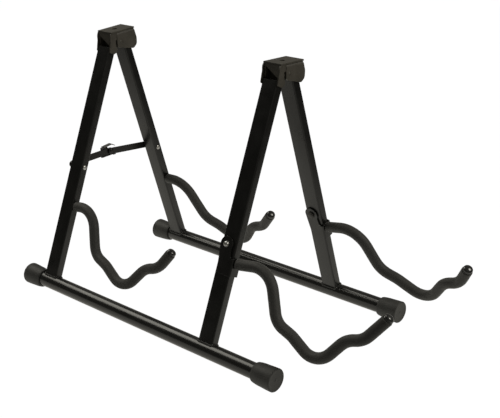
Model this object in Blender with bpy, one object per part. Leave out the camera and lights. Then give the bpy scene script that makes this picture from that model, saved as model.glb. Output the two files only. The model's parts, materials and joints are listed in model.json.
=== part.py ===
"""A folding rack that holds two guitars: two A-frames joined by two long base tubes.

The frame: +X is the way the cradle arms point, +Y runs from the left base tube to the right one as
seen by someone facing the arms, and +Z is up. The origin is on the floor, under the middle of the rack.
Sizes are in metres. Each leg has its own local frame, made by leg_matrix: x along the base tube, z up
along the leg from the base tube's axis, and y across the leg's narrow side, roughly to world +Y.
"""

import math

import bmesh
import bpy
from mathutils import Matrix, Vector

GAP = 0.0003  # between pieces that touch

# Base tubes and their rubber caps
RACK_LENGTH = 0.5885  # one base tube with its two caps
TUBE_SPACING = 0.331  # between the two tube axes
TUBE_RADIUS = 0.0132
TUBE_WALL = 0.0015
TUBE_CENTRE_X = -0.0813  # puts the origin under the middle of the whole rack, arms included
CAP_LENGTH = 0.039
CAP_END_WALL = 0.004
CAP_END_RADIUS = 0.019
CAP_EDGE = 0.0018
CAP_MOUTH_RADIUS = 0.0163
CAP_SHOULDER_RADIUS = 0.0181
CAP_SHOULDER = 0.017  # from the mouth to where the flare eases off
AXIS_HEIGHT = CAP_END_RADIUS
ROUND_SIDES = 24

# Legs
REAR_X = TUBE_CENTRE_X - 0.23375
FRONT_X = TUBE_CENTRE_X + 0.15125
LEG_WIDTH = 0.030  # along X
LEG_DEPTH = 0.016
LEG_WALL = 0.0015
LEG_CORNER = 0.0025
LEG_LENGTH = 0.4355  # from the tube axis
LEG_LEAN = math.radians(19.77)

# Top hinges, with sizes taken from the pivot axis
PIVOT_HEIGHT = 0.420  # above the tube axes
SHEET = 0.0026
BRACKET_HALF_WIDTH = 0.0179
CHEEK_BEND = 0.007  # where a bracket's cheeks roll in under its flat top plate
PLATE_FRONT = -0.022
PLATE_BACK = 0.0335
FRONT_TOP = 0.018
REAR_TOP = 0.0205  # the rear hinge's plate sits higher, and its back edge is tipped up
REAR_TILT = math.radians(5.0)
PLATE_HOLE_Y = 0.0024
PLATE_HOLE_RADIUS = 0.0045
PIN_RADIUS = 0.003
EAR_OUTER_X = 0.0146
EAR_RADIUS = 0.009

# Cradle arms
ROD_RADIUS = 0.00475
FOAM_RADIUS = 0.009
FOAM_INNER_RADIUS = 0.0054
ARM_START_HEIGHT = 0.145  # along the leg
# Corners where an arm's straight runs meet, as (out from the leg, up the leg), and its bend radii
ARM_CORNERS = (
    (0.0830, 0.1556),
    (0.1177, 0.0817),
    (0.1504, 0.0719),
    (0.2039, 0.0442),
    (0.2410, 0.0952),
    (0.2690, 0.1044),
)
ARM_BENDS = (0.0445, 0.0345, 0.0430, 0.0350, 0.0380, 0.0360)
# The four arms are bent to one shape but don't sit alike: how far the corners are turned up, drawn back and
# lowered, then the last run's length and its slope, with angles in degrees
ARM_PLACES = {
    "front_left": (0.0, 0.0, 0.0, 0.053, 54.4),
    "front_right": (0.8, 0.0020, -0.0027, 0.0415, 61.3),
    "rear_left": (-2.05, 0.0223, 0.0026, 0.0412, 58.0),
    "rear_right": (0.83, 0.0224, 0.0088, 0.0454, 51.2),
}
ROD_END_BARE = 0.005
ROD_START_GAP = 0.0012  # the weld at its root fills this
FOAM_START_GAP = 0.0012

# Fold-up brackets of the front arms
PIVOT_U = -0.003  # across the leg's wide face
PIVOT_S = 0.172  # up the leg
WEB_BOTTOM = 0.124
WEB_TOP = 0.152
LOBE_RADIUS = 0.0125
BOLT_RADIUS = 0.004
BOLT_HEAD_RADIUS = 0.0066
BOLT_HEAD_HEIGHT = 0.0038
NUT_RADIUS = 0.0062
NUT_HEIGHT = 0.0035

# Folding brace of the rear A-frame
BRACE_S = 0.217  # up the leg
BRACE_ARCH = 0.0055  # the locked centre pivot stands this far above its end pivots
BAR_THICK = 0.0025
BAR_HALF_HEIGHT = 0.006
RIVET_RADIUS = 0.003
RIVET_HEAD_RADIUS = 0.0048
RIVET_HEAD_HEIGHT = 0.0016
CENTRE_HEAD_HEIGHT = 0.0012
CLIP_SHEET = 0.0012

BLACK_STEEL = ("black powder-coated steel", (0.020, 0.020, 0.019), 0.35, 0.0)
BLACK_TUBE = ("gloss black tube", (0.018, 0.018, 0.017), 0.22, 0.0)
RUBBER = ("dark grey rubber", (0.050, 0.050, 0.048), 0.65, 0.0)
FOAM = ("black foam", (0.035, 0.034, 0.032), 0.80, 0.0)
GLOSS_PLUG = ("gloss black plastic", (0.015, 0.015, 0.015), 0.18, 0.0)
ZINC = ("zinc-plated steel", (0.62, 0.62, 0.60), 0.30, 1.0)
DULL_ZINC = ("dull zinc-plated steel", (0.30, 0.30, 0.29), 0.45, 1.0)


def clear_scene():
    for obj in list(bpy.data.objects):
        bpy.data.objects.remove(obj, do_unlink=True)


def material(finish):
    name, colour, roughness, metallic = finish
    found = bpy.data.materials.get(name)
    if found:
        return found
    made = bpy.data.materials.new(name)
    made.use_nodes = True
    shader = made.node_tree.nodes["Principled BSDF"]
    shader.inputs["Base Color"].default_value = (*colour, 1.0)
    shader.inputs["Roughness"].default_value = roughness
    shader.inputs["Metallic"].default_value = metallic
    return made


def empty_at(name, matrix, parent=None):
    axis = bpy.data.objects.new(name, None)
    bpy.context.collection.objects.link(axis)
    axis.empty_display_size = 0.02
    axis.matrix_world = matrix
    if parent:
        hold(axis, parent, matrix)
    return axis


def hold(obj, parent, matrix):
    """Parents obj and leaves it at this world matrix."""
    bpy.context.view_layer.update()
    obj.parent = parent
    obj.matrix_parent_inverse = parent.matrix_world.inverted()
    obj.matrix_world = matrix


def finish_mesh(name, bm, finish, parent, matrix, smooth=False):
    bmesh.ops.recalc_face_normals(bm, faces=bm.faces)
    mesh = bpy.data.meshes.new(name)
    bm.to_mesh(mesh)
    bm.free()
    if smooth:
        mesh.shade_smooth()
        mesh.set_sharp_from_angle(angle=math.radians(35))
    obj = bpy.data.objects.new(name, mesh)
    bpy.context.collection.objects.link(obj)
    if finish:
        mesh.materials.append(material(finish))
    if parent:
        hold(obj, parent, matrix)
    else:
        obj.matrix_world = matrix
    return obj


def boolean(obj, other, operation):
    modifier = obj.modifiers.new(operation.lower(), "BOOLEAN")
    modifier.operation = operation
    modifier.object = other
    other.hide_render = True
    other.display_type = "WIRE"


def rounded(corners, radii, steps=4, closed=True):
    """The 2-D outline through these corners, each turned into an arc of its radius (0 leaves it sharp)."""
    points = []
    count = len(corners)
    for i, (corner, radius) in enumerate(zip(corners, radii)):
        here = Vector(corner)
        if radius == 0 or (not closed and i in (0, count - 1)):
            points.append(here)
            continue
        before = (Vector(corners[i - 1]) - here).normalized()
        after = (Vector(corners[(i + 1) % count]) - here).normalized()
        half = before.angle(after) / 2
        centre = here + (before + after).normalized() * (radius / math.sin(half))
        start = here + before * (radius / math.tan(half)) - centre
        turn = start.angle_signed(here + after * (radius / math.tan(half)) - centre)
        points += [centre + Matrix.Rotation(-turn * k / steps, 2) @ start for k in range(steps + 1)]
    return points


def rectangle(width, depth, corner, steps=3):
    x, y = width / 2, depth / 2
    return rounded(((x, -y), (x, y), (-x, y), (-x, -y)), (corner,) * 4, steps)


def prism(name, outline, low, high, plane, finish=None, parent=None, matrix=None):
    """An outline drawn in one plane of the local frame, extruded from low to high along its normal."""
    place = {
        "yz": lambda a, b, c: (c, a, b),
        "xz": lambda a, b, c: (a, c, b),
        "xy": lambda a, b, c: (a, b, c),
    }[plane]
    bm = bmesh.new()
    face = bm.faces.new([bm.verts.new(place(a, b, low)) for a, b in outline])
    made = bmesh.ops.extrude_face_region(bm, geom=[face])["geom"]
    shift = Vector(place(0, 0, high)) - Vector(place(0, 0, low))
    bmesh.ops.translate(bm, verts=[v for v in made if isinstance(v, bmesh.types.BMVert)], vec=shift)
    return finish_mesh(name, bm, finish, parent, matrix or Matrix())


def ring_prism(name, outer, inner, low, high, finish, parent, matrix, smooth=False):
    """A hollow section between two outlines, along local z."""
    bm = bmesh.new()
    edges = []
    for outline in (outer, inner):
        loop = [bm.verts.new((a, b, low)) for a, b in outline]
        edges += [bm.edges.new((loop[i - 1], loop[i])) for i in range(len(loop))]
    faces = bmesh.ops.bridge_loops(bm, edges=edges)["faces"]
    made = bmesh.ops.extrude_face_region(bm, geom=faces)["geom"]
    raised = [v for v in made if isinstance(v, bmesh.types.BMVert)]
    bmesh.ops.translate(bm, verts=raised, vec=(0, 0, high - low))
    return finish_mesh(name, bm, finish, parent, matrix, smooth)


def circle(radius, sides=ROUND_SIDES):
    """A round outline with a corner straight down, so that a round foot rests on one."""
    return [
        (radius * math.cos(turn), radius * math.sin(turn))
        for turn in (math.tau * (k / sides - 0.25) for k in range(sides))
    ]


def lathe(name, profile, sides, finish, parent, matrix):
    """A profile of (radius, height) points, from axis to axis, turned about local z."""
    bm = bmesh.new()
    verts = [bm.verts.new((0, -radius, height)) for radius, height in profile]
    edges = [bm.edges.new(pair) for pair in zip(verts, verts[1:])]
    bmesh.ops.spin(bm, geom=verts + edges, axis=(0, 0, 1), cent=(0, 0, 0), steps=sides, angle=math.tau)
    bmesh.ops.remove_doubles(bm, verts=bm.verts, dist=1e-6)
    return finish_mesh(name, bm, finish, parent, matrix, smooth=True)


def cylinder_cutter(name, radius, start, end, sides=ROUND_SIDES):
    """A round cutter between two points."""
    start, end = Vector(start), Vector(end)
    turn = (end - start).to_track_quat("Z", "Y").to_matrix().to_4x4()
    bm = bmesh.new()
    bmesh.ops.create_cone(
        bm, cap_ends=True, segments=sides, radius1=radius, radius2=radius, depth=(end - start).length
    )
    cutter = finish_mesh(name, bm, None, None, Matrix.Translation((start + end) / 2) @ turn)
    cutter.hide_render = True
    cutter.display_type = "WIRE"
    return cutter


def drill(obj, radius, start, end, sides):
    boolean(obj, cylinder_cutter(f"{obj.name}_hole", radius, start, end, sides), "DIFFERENCE")


def swept(name, path, radius, resolution, finish, parent, matrix, wall=None):
    """A round bar or, with a wall, an open tube that follows a path in the local x-z plane."""
    curve = bpy.data.curves.new(name, "CURVE")
    curve.dimensions = "3D"
    spline = curve.splines.new("POLY")
    spline.points.add(len(path) - 1)
    for point, (out, up) in zip(spline.points, path):
        point.co = (out, 0, up, 1)
    spline.use_smooth = True
    curve.bevel_depth = radius
    curve.bevel_resolution = resolution
    curve.use_fill_caps = wall is None
    curve.materials.append(material(finish))
    obj = bpy.data.objects.new(name, curve)
    bpy.context.collection.objects.link(obj)
    if wall:
        shell = obj.modifiers.new("wall", "SOLIDIFY")
        shell.thickness = wall
        shell.offset = -1
    hold(obj, parent, matrix)
    return obj


def leg_matrix(side, x):
    """The leg's local frame. side is -1 on the left and +1 on the right."""
    up = Vector((0, -side * math.sin(LEG_LEAN), math.cos(LEG_LEAN)))
    along = Vector((1, 0, 0))
    across = up.cross(along)
    turn = Matrix((along, across, up)).transposed().to_4x4()
    return Matrix.Translation((x, side * TUBE_SPACING / 2, AXIS_HEIGHT)) @ turn


def hinge_matrix(x, tilt=0.0):
    return Matrix.Translation((x, 0, AXIS_HEIGHT + PIVOT_HEIGHT)) @ Matrix.Rotation(tilt, 4, "X")


def base_tube(side, parent):
    name = side_name(side)
    y = side * TUBE_SPACING / 2
    start = Vector((TUBE_CENTRE_X - RACK_LENGTH / 2, y, AXIS_HEIGHT))
    # Local z runs along world +X, and local -y is world down.
    along = Matrix(((0, 0, 1), (1, 0, 0), (0, 1, 0))).to_4x4()
    inset = CAP_END_WALL + GAP
    ring_prism(
        f"{name}_base_tube",
        circle(TUBE_RADIUS),
        circle(TUBE_RADIUS - TUBE_WALL),
        inset,
        RACK_LENGTH - inset,
        BLACK_TUBE,
        parent,
        Matrix.Translation(start) @ along,
        smooth=True,
    )
    back = Matrix.Rotation(math.pi, 4, "Y")
    for end, matrix in (
        ("rear", Matrix.Translation(start + Vector((CAP_LENGTH, 0, 0))) @ along @ back),
        ("front", Matrix.Translation(start + Vector((RACK_LENGTH - CAP_LENGTH, 0, 0))) @ along),
    ):
        foot_cap(f"{name}_{end}_foot_cap", parent, matrix)


def foot_cap(name, parent, matrix):
    bore = TUBE_RADIUS + GAP
    depth = CAP_LENGTH - CAP_END_WALL
    lathe(
        name,
        (
            (0, depth),
            (bore, depth),
            (bore, 0),
            (CAP_MOUTH_RADIUS - 0.0008, 0),
            (CAP_MOUTH_RADIUS, 0.0010),
            (CAP_SHOULDER_RADIUS, CAP_SHOULDER),
            (CAP_END_RADIUS, CAP_LENGTH - 2 * CAP_EDGE),
            (CAP_END_RADIUS - 0.3 * CAP_EDGE, CAP_LENGTH - 0.7 * CAP_EDGE),
            (CAP_END_RADIUS - CAP_EDGE, CAP_LENGTH),
            (0, CAP_LENGTH),
        ),
        ROUND_SIDES,
        RUBBER,
        parent,
        matrix,
    )


def leg(frame, x, side, parent):
    matrix = leg_matrix(side, x)
    name = f"{frame}_{side_name(side)}_leg"
    made = ring_prism(
        name,
        rectangle(LEG_WIDTH, LEG_DEPTH, LEG_CORNER),
        rectangle(LEG_WIDTH - 2 * LEG_WALL, LEG_DEPTH - 2 * LEG_WALL, LEG_CORNER - LEG_WALL),
        0,
        LEG_LENGTH,
        BLACK_STEEL,
        parent,
        matrix,
    )
    y = side * TUBE_SPACING / 2
    saddle = cylinder_cutter(
        f"{name}_saddle",
        TUBE_RADIUS + GAP,
        (x - LEG_WIDTH, y, AXIS_HEIGHT),
        (x + LEG_WIDTH, y, AXIS_HEIGHT),
    )
    boolean(made, saddle, "DIFFERENCE")
    if frame == "front":
        across = LEG_DEPTH
        hole = [matrix @ Vector((PIVOT_U, v, PIVOT_S)) for v in (-across, across)]
        drill(made, BOLT_RADIUS + GAP, *hole, 16)
    else:
        hole = [matrix @ Vector((u, 0, BRACE_S)) for u in (-LEG_WIDTH, LEG_WIDTH)]
        drill(made, RIVET_RADIUS + GAP, *hole, 12)


def hinge_bracket(frame, matrix, top, parent):
    """Bent sheet fixed to the right leg: a flat top plate, the stop, and two cheeks beside the legs."""
    half, inner = BRACKET_HALF_WIDTH, BRACKET_HALF_WIDTH - SHEET
    under = top - SHEET
    low = -0.019
    roof = top - 0.0008
    outer_bends = (0, CHEEK_BEND, CHEEK_BEND, 0)
    inner_bends = (0, CHEEK_BEND - SHEET, CHEEK_BEND - SHEET, 0)
    ceiling = roof - SHEET
    channel = rounded(((-half, low), (-half, roof), (half, roof), (half, low)), outer_bends)
    channel += rounded(((inner, low), (inner, ceiling), (-inner, ceiling), (-inner, low)), inner_bends)
    name = f"{frame}_hinge_bracket"
    made = prism(name, channel, PLATE_FRONT, 0.040, "xz", BLACK_STEEL, parent, matrix)
    side_outline = rounded(
        (
            (-0.0088, 0.030),
            (PLATE_BACK - 0.001, 0.030),
            (PLATE_BACK, under - 0.002),
            (0.0380, 0.000),
            (0.0375, -0.0120),
            (0.0290, -0.0183),
            (-0.0050, -0.0100),
            (-0.0088, -0.0060),
        ),
        (0, 0, 0.006, 0.012, 0.008, 0.006, 0.003, 0.003),
        3,
    )
    cheeks = prism(f"{frame}_cheek_outline", side_outline, -0.03, 0.03, "yz", None, None, matrix)
    boolean(made, cheeks, "INTERSECT")
    plate = ((-half, under), (half, under), (half, top), (-half, top))
    flat = prism(f"{frame}_top_plate", plate, PLATE_FRONT, PLATE_BACK, "xz", None, None, matrix)
    boolean(made, flat, "UNION")
    pin_hole = [matrix @ Vector((u, 0, 0)) for u in (-0.03, 0.03)]
    drill(made, PIN_RADIUS + GAP, *pin_hole, 16)
    top_hole = [matrix @ Vector((0, PLATE_HOLE_Y, z)) for z in (0.010, 0.030)]
    drill(made, PLATE_HOLE_RADIUS, *top_hole, 16)


def hinge_knuckle(frame, matrix, bracket_top, parent):
    """Bent sheet fixed to the left leg: flanges, a cut-away front, a back web and two ears on the pin."""
    half, inner = BRACKET_HALF_WIDTH, BRACKET_HALF_WIDTH - SHEET
    top = bracket_top - SHEET - GAP
    panel = (
        (half - GAP, -0.0060),
        (half - GAP, top),
        (GAP - half, top),
        (GAP - half, 0.0115),
        (-0.0105, 0.0105),
        (0.0140, -0.0060),
    )
    name = f"{frame}_hinge_knuckle"
    made = prism(name, panel, -0.0225, -0.0200, "xz", BLACK_STEEL, parent, matrix)
    flange = rounded(
        (
            (-0.0096, top),
            (-0.0230, top),
            (-0.0250, 0.0110),
            (-0.0250, 0.0030),
            (-0.0262, -0.0020),
            (-0.0288, -0.0150),
            (-0.0180, -0.0195),
            (-0.0108, -0.0160),
            (-0.0112, -0.0085),
            (-0.0136, -0.0065),
            (-0.0136, 0.0040),
            (-0.0096, 0.0055),
        ),
        (0, 0.0015, 0.002, 0, 0, 0.003, 0.003, 0.002, 0, 0, 0, 0),
        2,
    )
    ear = [(-0.0225, top), (-0.0225, -0.0060), (-0.0125, -0.0106), (-0.0090, -0.0106)]
    ear += [
        (EAR_RADIUS * math.cos(angle), EAR_RADIUS * math.sin(angle))
        for angle in (math.radians(-110 + 200 * k / 10) for k in range(11))
    ]
    for sign in (-1, 1):
        for shape, outline, near, far in (
            ("flange", flange, inner + GAP, half - GAP),
            ("ear", ear, EAR_OUTER_X - SHEET, EAR_OUTER_X),
        ):
            low, high = sorted((sign * near, sign * far))
            wing = prism(f"{name}_{shape}_{sign + 2}", outline, low, high, "yz", None, None, matrix)
            boolean(made, wing, "UNION")
    # The web closes the hollow from behind and hangs down past the back of the leg's top.
    reach = EAR_OUTER_X - 0.0001
    roof = top - 0.002
    web = (
        (-0.0125, -0.0104),
        (-0.0103, -0.0111),
        (-0.0103, -0.0142),
        (-0.0092, -0.0142),
        (-0.0092, roof),
        (-0.0125, roof),
    )
    boolean(made, prism(f"{name}_web", web, -reach, reach, "yz", None, None, matrix), "UNION")
    pin_hole = [matrix @ Vector((u, 0, 0)) for u in (-0.03, 0.03)]
    drill(made, PIN_RADIUS + GAP, *pin_hole, 16)


def along_x(matrix):
    """A frame at the same place whose local z is the given frame's x."""
    return matrix @ Matrix.Rotation(math.pi / 2, 4, "Y")


def hinge_pin(frame, matrix, parent):
    flush = BRACKET_HALF_WIDTH
    profile = (
        (0, -flush),
        (PIN_RADIUS - 0.0005, -flush),
        (PIN_RADIUS, 0.0005 - flush),
        (PIN_RADIUS, flush - 0.0005),
        (PIN_RADIUS - 0.0005, flush),
        (0, flush),
    )
    lathe(f"{frame}_hinge_pin", profile, 16, BLACK_STEEL, parent, along_x(matrix))


def turned(point, pivot, angle):
    """A point of the local x-z plane turned about another one, up being positive."""
    out, up = point[0] - pivot[0], point[1] - pivot[1]
    c, s = math.cos(angle), math.sin(angle)
    return (pivot[0] + c * out - s * up, pivot[1] + s * out + c * up)


def arm_path(name, start_out):
    """The bent rod's centre line, with six bends between the leg and the tip."""
    turn, back, down, tip_length, tip_slope = ARM_PLACES[name]
    root = (LEG_WIDTH / 2, ARM_START_HEIGHT)
    corners = [turned((out - back, up - down), root, math.radians(turn)) for out, up in ARM_CORNERS]
    last, slope = corners[-1], math.radians(tip_slope)
    tip = (last[0] + tip_length * math.cos(slope), last[1] + tip_length * math.sin(slope))
    start = (start_out, ARM_START_HEIGHT)
    return rounded([start, *corners, tip], (0, *ARM_BENDS, 0), 4, closed=False)


def trimmed(path, from_start, from_end):
    """The path with a length taken off each end."""
    first = path[0] + (path[1] - path[0]).normalized() * from_start
    last = path[-1] + (path[-2] - path[-1]).normalized() * from_end
    return [first, *path[1:-1], last]


def cradle_arm(name, path, parent, matrix):
    swept(f"{name}_rod", path, ROD_RADIUS, 2, BLACK_STEEL, parent, matrix)
    foam_path = trimmed(path, FOAM_START_GAP, ROD_END_BARE)
    swept(
        f"{name}_foam",
        foam_path,
        FOAM_RADIUS,
        3,
        FOAM,
        parent,
        matrix,
        wall=FOAM_RADIUS - FOAM_INNER_RADIUS,
    )
    # A cup over the bare end of the rod, with its local z along the rod.
    tip, before = path[-1], path[-2]
    out = (tip - before).normalized()
    tilt = math.atan2(out[0], out[1])
    seat = foam_path[-1] + out * GAP
    plug_matrix = matrix @ Matrix.Translation((seat[0], 0, seat[1])) @ Matrix.Rotation(tilt, 4, "Y")
    bore = ROD_RADIUS + GAP
    lathe(
        f"{name}_end_plug",
        (
            (0, ROD_END_BARE),
            (bore, ROD_END_BARE),
            (bore, 0),
            (0.0076, 0),
            (0.0082, 0.0016),
            (0.0076, 0.0042),
            (0.0058, 0.0062),
            (0.0030, 0.0072),
            (0, 0.0075),
        ),
        16,
        GLOSS_PLUG,
        parent,
        plug_matrix,
    )


def arm_bracket(name, parent, matrix):
    """A channel round the leg: two ears on the pivot bolt, and a web that carries the arm."""
    near = LEG_DEPTH / 2 + GAP
    far = near + 0.0025
    web_in = LEG_WIDTH / 2 + GAP
    web_out = web_in + 0.0025
    web = ((web_in, -far), (web_out, -far), (web_out, far), (web_in, far))
    made = prism(f"{name}_bracket", web, WEB_BOTTOM, WEB_TOP, "xy", BLACK_STEEL, parent, matrix)
    lobe = [
        (PIVOT_U + LOBE_RADIUS * math.cos(a), PIVOT_S + LOBE_RADIUS * math.sin(a))
        for a in (math.radians(-30 + 220 * k / 10) for k in range(11))
    ]
    # The ear's front edge curves in from the web to the lobe.
    neck = rounded(((web_out, WEB_TOP), (0.0105, WEB_TOP), lobe[0]), (0, 0.004, 0), 3, closed=False)
    ear = [(-0.0100, WEB_BOTTOM + 0.006), (-0.0050, WEB_BOTTOM), (web_out, WEB_BOTTOM)]
    ear += [*neck[:-1], *lobe]
    for sign in (-1, 1):
        low, high = sorted((sign * near, sign * far))
        side = prism(f"{name}_bracket_ear_{sign + 2}", ear, low, high, "xz", None, None, matrix)
        boolean(made, side, "UNION")
    hole = [matrix @ Vector((PIVOT_U, v, PIVOT_S)) for v in (-0.03, 0.03)]
    drill(made, BOLT_RADIUS + GAP, *hole, 16)
    return far


def pivot_bolt(name, side, ear_face, parent, matrix):
    """A domed bolt with its head on the outside of the leg and a low nut on the inside."""
    outward = Matrix.Rotation(-side * math.pi / 2, 4, "X")
    frame = matrix @ Matrix.Translation((PIVOT_U, 0, PIVOT_S)) @ outward
    seat = ear_face + GAP
    end = -(seat + NUT_HEIGHT)
    lathe(
        f"{name}_pivot_bolt",
        (
            (0, end),
            (BOLT_RADIUS - 0.0004, end),
            (BOLT_RADIUS, end + 0.0004),
            (BOLT_RADIUS, seat),
            (BOLT_HEAD_RADIUS, seat),
            (BOLT_HEAD_RADIUS, seat + 0.0010),
            (0.0052, seat + 0.0028),
            (0.0028, seat + BOLT_HEAD_HEIGHT),
            (0, seat + BOLT_HEAD_HEIGHT),
        ),
        16,
        ZINC,
        parent,
        frame,
    )
    ring_prism(
        f"{name}_pivot_nut",
        circle(NUT_RADIUS, 12),
        circle(BOLT_RADIUS + 2 * GAP, 12),
        end,
        -seat,
        BLACK_STEEL,
        parent,
        frame,
    )


def side_name(side):
    return "left" if side < 0 else "right"


def brace_pivot(side):
    return leg_matrix(side, REAR_X) @ Vector((0, 0, BRACE_S))


def brace_bar(side, near, parent):
    """A flat bar beside the rear legs, drawn in world y-z about its own leg pivot."""
    start = brace_pivot(side)
    centre = Vector((0, start.z + BRACE_ARCH))
    begin = Vector((start.y, start.z))
    along = (centre - begin).normalized()
    normal = Vector((-along.y, along.x))
    outline = []
    for middle, first in ((centre, -90), (begin, 90)):
        for k in range(7):
            angle = math.radians(first + 30 * k)
            outward = math.cos(angle) * along + math.sin(angle) * normal
            outline.append(middle + BAR_HALF_HEIGHT * outward)
    name = f"{side_name(side)}_brace_bar"
    made = prism(name, outline, near - BAR_THICK, near, "yz", BLACK_STEEL, parent, Matrix())
    for point in (begin, centre):
        line = [(near + step, point.x, point.y) for step in (-0.01, 0.01)]
        drill(made, RIVET_RADIUS + GAP, *line, 12)


def headed_rivet(name, matrix, tail, shank_end, head_height, finish, parent, tail_height=0.0):
    """A rivet along local z with a domed head above 0 and, if asked for, a second one below its tail."""
    radius, head = RIVET_RADIUS, RIVET_HEAD_RADIUS
    profile = [(0, shank_end + tail)]
    if tail_height:
        end = tail - tail_height
        profile = [(0, end), (0.7 * head, end), (head, tail), (radius, tail)]
    else:
        profile += [(radius, shank_end + tail)]
    profile += [(radius, 0), (head, 0), (head, 0.3 * head_height)]
    profile += [(0.6 * head, head_height), (0, head_height)]
    lathe(name, profile, 12, finish, parent, matrix)


def folding_brace(left_half, right_half):
    """Two flat bars that lock just past straight, the left one outside the right one."""
    leg_face = REAR_X - LEG_WIDTH / 2
    right_near = leg_face - 0.0005
    left_near = right_near - BAR_THICK - 0.0005
    bars = {}
    for side, half, near in ((-1, left_half, left_near), (1, right_half, right_near)):
        axis = empty_at(f"{side_name(side)}_brace_axis", Matrix.Translation(brace_pivot(side)), half)
        bars[side] = axis
        brace_bar(side, near, axis)
        # The leg rivet's zinc head is on the +X face of the leg; its tail holds the bar on the other side.
        head_seat = REAR_X + LEG_WIDTH / 2 + GAP
        tail = near - BAR_THICK - GAP - head_seat
        at_head = along_x(Matrix.Translation((head_seat, *brace_pivot(side).yz)))
        name = f"{side_name(side)}_brace_leg_rivet"
        headed_rivet(name, at_head, tail, 0, RIVET_HEAD_HEIGHT, ZINC, half, RIVET_HEAD_HEIGHT)
    spacer_span = leg_face - GAP - (left_near + GAP)
    spacer_at = along_x(Matrix.Translation((left_near + GAP, *brace_pivot(-1).yz)))
    ring_prism(
        "brace_spacer",
        circle(0.0058, 16),
        circle(RIVET_RADIUS + 2 * GAP, 16),
        0,
        spacer_span,
        ZINC,
        left_half,
        spacer_at,
    )
    centre = (0, brace_pivot(1).z + BRACE_ARCH)
    inward = Matrix.Rotation(math.pi / 2, 4, "Y")
    outward = Matrix.Rotation(-math.pi / 2, 4, "Y")
    headed_rivet(
        "brace_centre_rivet_head",
        Matrix.Translation((right_near + GAP, *centre)) @ inward,
        0,
        -(BAR_THICK + GAP),
        CENTRE_HEAD_HEIGHT,
        BLACK_STEEL,
        bars[1],
    )
    headed_rivet(
        "brace_centre_rivet_tail",
        Matrix.Translation((left_near - BAR_THICK - GAP, *centre)) @ outward,
        0,
        -(BAR_THICK + GAP),
        CENTRE_HEAD_HEIGHT,
        BLACK_STEEL,
        bars[-1],
    )
    start = brace_pivot(-1)
    slope = math.atan2(BRACE_ARCH, -start.y)
    clip_frame = Matrix.Translation((0, *centre)) @ Matrix.Rotation(slope, 4, "X")
    lock_clip(clip_frame, left_near, right_near, bars[-1])


def lock_clip(matrix, left_near, right_near, parent):
    """Bent sheet on the left bar: a lip under both bars stops them at the lock, a thumb tab undoes it."""
    wall_in = left_near - BAR_THICK - GAP
    wall_out = wall_in - CLIP_SHEET
    floor = -(BAR_HALF_HEIGHT + 0.0027)
    ceiling = BAR_HALF_HEIGHT + 0.0052
    wall = ((-0.0210, floor), (-0.0062, floor), (-0.0062, ceiling - 0.001), (-0.0210, ceiling - 0.001))
    made = prism("brace_lock_clip", wall, wall_out, wall_in, "yz", DULL_ZINC, parent, matrix)
    lip_top = floor + CLIP_SHEET
    lip_outer = ((-0.0210, floor), (0.0105, floor), (0.0105, lip_top), (-0.0210, lip_top))
    lip_inner = ((0.0050, floor), (0.0105, floor), (0.0105, lip_top), (0.0050, lip_top))
    tab = (
        (-0.0143, 0.0088),
        (0.0056, 0.0108),
        (0.0126, 0.0066),
        (0.0132, 0.0076),
        (0.0058, 0.0120),
        (-0.0143, 0.0100),
    )
    for name, outline, low, high in (
        ("clip_lip_outer", lip_outer, wall_out, left_near),
        ("clip_lip_inner", lip_inner, wall_out + 0.001, right_near),
        ("clip_tab", tab, wall_out - 0.005, left_near - GAP),
    ):
        boolean(made, prism(name, outline, low, high, "yz", None, None, matrix), "UNION")


def build():
    clear_scene()
    rack = empty_at("rack", Matrix())
    fold = empty_at("left_half_fold_axis", hinge_matrix(0), rack)
    halves = {-1: fold, 1: rack}
    for side, half in halves.items():
        base_tube(side, half)
        for frame, x in (("rear", REAR_X), ("front", FRONT_X)):
            leg(frame, x, side, half)
        rear = leg_matrix(side, REAR_X)
        rear_path = arm_path(f"rear_{side_name(side)}", LEG_WIDTH / 2 + ROD_START_GAP)
        cradle_arm(f"rear_{side_name(side)}_arm", rear_path, half, rear)
        front = leg_matrix(side, FRONT_X)
        pivot = front @ Matrix.Translation((PIVOT_U, 0, PIVOT_S))
        axis = empty_at(f"front_{side_name(side)}_arm_axis", pivot, half)
        name = f"front_{side_name(side)}_arm"
        ear_face = arm_bracket(name, axis, front)
        front_path = arm_path(f"front_{side_name(side)}", LEG_WIDTH / 2 + 0.0025 + GAP + ROD_START_GAP)
        cradle_arm(name, front_path, axis, front)
        pivot_bolt(name, side, ear_face, half, front)
    hinges = (("rear", REAR_X, REAR_TOP, REAR_TILT), ("front", FRONT_X, FRONT_TOP, 0.0))
    for frame, x, top, tilt in hinges:
        hinge = hinge_matrix(x, tilt)
        hinge_bracket(frame, hinge, top, rack)
        hinge_knuckle(frame, hinge, top, fold)
        hinge_pin(frame, hinge, rack)
    folding_brace(fold, rack)


build()
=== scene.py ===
"""The looks of a folding double guitar rack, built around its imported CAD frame.

Sizes are in metres and angles in radians unless a name says degrees, in the frame of the CAD model: +X is
the way the cradle arms point, +Y runs from the left base tube to the right one, and +Z is up. Places come
from the frame: the boxes of its nodes and the axes of its joints. The constants below are the fine shape.
"""

import json
import math
import random

import bmesh
import bpy
from mathutils import Matrix, Vector, noise


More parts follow.
